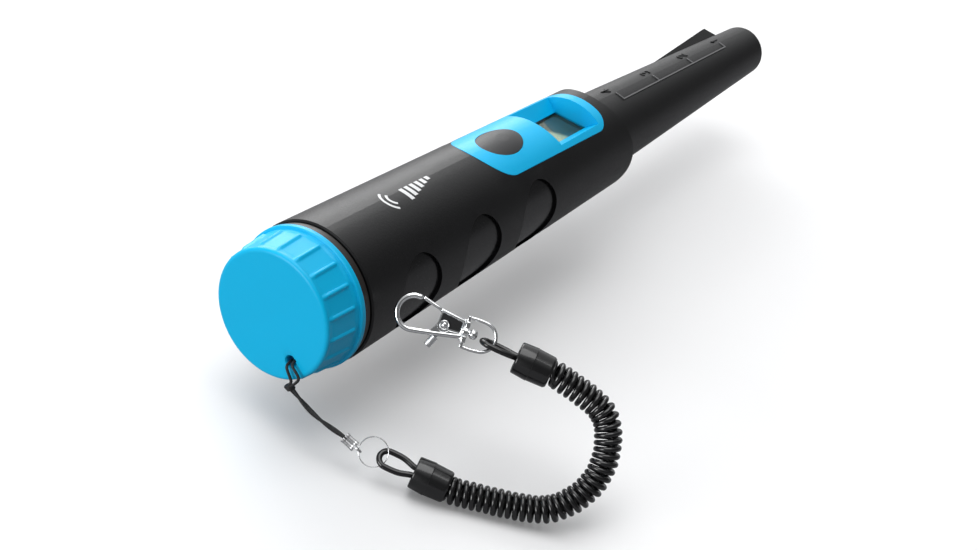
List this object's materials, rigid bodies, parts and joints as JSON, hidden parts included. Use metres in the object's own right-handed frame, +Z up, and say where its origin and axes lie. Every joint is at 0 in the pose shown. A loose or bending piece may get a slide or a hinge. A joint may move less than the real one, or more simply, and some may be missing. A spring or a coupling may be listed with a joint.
{
  "type": "pinpointer probe",
  "caption": "Hand-held pinpointer probe: tapered handle with screw cap, display and push button, a slim sensing probe, and a coiled lanyard with a swivel clasp.",
  "frame": {"origin": "centre of the end cap's outer face, with the cap screwed home", "axes": "+X along the handle to the probe's tip, +Z up through the middle of the display and button, +Y to the side away from the lanyard"},
  "size_m": [0.2822, 0.1155, 0.0576],
  "materials": {
    "black_shell": "fine-textured moulded nylon",
    "blue_cap": "smooth satin-gloss moulded",
    "blue_bezel": "smooth satin-gloss moulded",
    "lens": "clear, polished",
    "lcd": "reflective liquid-crystal glass",
    "light_guide": "milky acrylic",
    "button_rubber": "matte moulded rubber",
    "seal_rubber": "smooth rubber",
    "board": "green solder mask",
    "chip_black": "moulded epoxy",
    "tray_plastic": "moulded",
    "steel": "bright",
    "chrome": "polished plate",
    "aluminium": "pressed, satin",
    "brass": "turned",
    "ferrite": "sintered ferrite",
    "copper_wire": "enamelled copper winding",
    "battery_case": "plain unprinted jacket",
    "foam": "closed-cell foam",
    "wire_insulation": "insulated stranded wire",
    "cord_fabric": "braided thin cord",
    "coil_plastic": "glossy coiled plastic cord"
  },
  "bodies": {
    "handle": {"handle_barrel": "black_shell", "display_bezel": "blue_bezel", "display_window": "lens", "lcd_panel": "lcd", "lcd_backlight": "light_guide", "main_board": "board", "board_components": "chip_black", "board_screws": "steel", "tact_switch": "steel", "chassis": "tray_plastic", "buzzer": "chip_black", "vibration_motor": "steel", "battery": "battery_case", "battery_tray": "tray_plastic", "battery_snap": "tray_plastic", "battery_leads": "wire_insulation", "probe_sleeve": "black_shell", "sleeve_gasket": "seal_rubber", "sleeve_nut": "brass", "coil_former": "tray_plastic", "ferrite_rod": "ferrite", "transmit_coil": "copper_wire", "receive_coil": "copper_wire", "tip_foam": "foam", "sensor_cable": "wire_insulation"},
    "button": {"power_button": "button_rubber"},
    "plunger": {"tact_plunger": "chip_black"},
    "rotor": {"motor_shaft": "steel", "motor_weight": "steel"},
    "seal": {"cap_seal": "seal_rubber"},
    "cap": {"end_cap": "blue_cap", "battery_pad": "foam"},
    "cord": {"lanyard_cord": "cord_fabric", "crimp_sleeve": "aluminium"},
    "ring": {"split_ring": "steel"},
    "near_end": {"near_loop": "coil_plastic", "near_ferrule": "coil_plastic", "coil_cord": "coil_plastic"},
    "far_end": {"far_ferrule": "coil_plastic", "far_loop": "coil_plastic"},
    "eye": {"swivel_eye": "chrome"},
    "clasp": {"clasp_hook": "chrome", "gate_rivet": "chrome"},
    "gate": {"clasp_gate": "chrome"}
  },
  "joints": [
    {"name": "button_press", "type": "slide", "parent": "handle", "child": "button", "axis": [0, 0, -1], "range_m": [0, 0.0006], "stiffness_N_per_m": 1500, "springref_m": -0.0004},
    {"name": "plunger_press", "type": "slide", "parent": "handle", "child": "plunger", "axis": [0, 0, -1], "range_m": [0, 0.0003]},
    {"name": "motor_spin", "type": "hinge", "parent": "handle", "child": "rotor", "pos_m": [0.112, 0, -0.0032], "axis": [1, 0, 0], "continuous": true},
    {"name": "seal_slide", "type": "slide", "parent": "handle", "child": "seal", "axis": [-1, 0, 0], "range_m": [0, 0.0076]},
    {"name": "cap_turn", "type": "hinge", "parent": "seal", "child": "cap", "pos_m": [0, 0, 0], "axis": [-1, 0, 0], "range_deg": [0, 900]},
    {"name": "cord_swing", "type": "hinge", "parent": "cap", "child": "cord", "pos_m": [-0.0009, -0.0109, -0.0176], "axis": [-0.7566, -0.383, 0.5299], "range_deg": [-40, 0], "deforming": ["lanyard_cord"]},
    {"name": "ring_turn", "type": "hinge", "parent": "cord", "child": "ring", "pos_m": [0.00575, -0.03764, -0.02743], "axis": [-0.7566, -0.383, 0.5299], "range_deg": [-30, 0]},
    {"name": "near_tilt", "type": "hinge", "parent": "ring", "child": "near_end", "pos_m": [0.00726, -0.04149, -0.02806], "axis": [-0.5455, -0.0771, -0.8346], "range_deg": [0, 10]},
    {"name": "coil_bend", "type": "hinge", "parent": "near_end", "child": "far_end", "pos_m": [0.04777, -0.08132, 0.001], "axis": [0.3446, 0.4551, 0.821], "range_deg": [0, 35], "stiffness_Nm_per_rad": 0.02, "deforming": ["coil_cord"]},
    {"name": "eye_swing", "type": "hinge", "parent": "far_end", "child": "eye", "pos_m": [0.03305, -0.05048, 0.00227], "axis": [-0.7566, -0.383, 0.5299], "range_deg": [-15, 15]},
    {"name": "clasp_swivel", "type": "hinge", "parent": "eye", "child": "clasp", "pos_m": [0.03111, -0.0429, 0.00497], "axis": [-0.4185, 0.9064, 0.0577], "continuous": true},
    {"name": "gate_open", "type": "hinge", "parent": "clasp", "child": "gate", "pos_m": [0.0286, -0.03746, 0.00532], "axis": [-0.7566, -0.383, 0.5299], "range_deg": [0, 25], "stiffness_Nm_per_rad": 0.005, "springref_deg": -11.46}
  ],
  "couplings": [
    {"joint": "plunger_press", "follows": "button_press", "ratio": 0.41667},
    {"joint": "seal_slide", "follows": "cap_turn", "m_per_rad": 0.00047746}
  ]
}
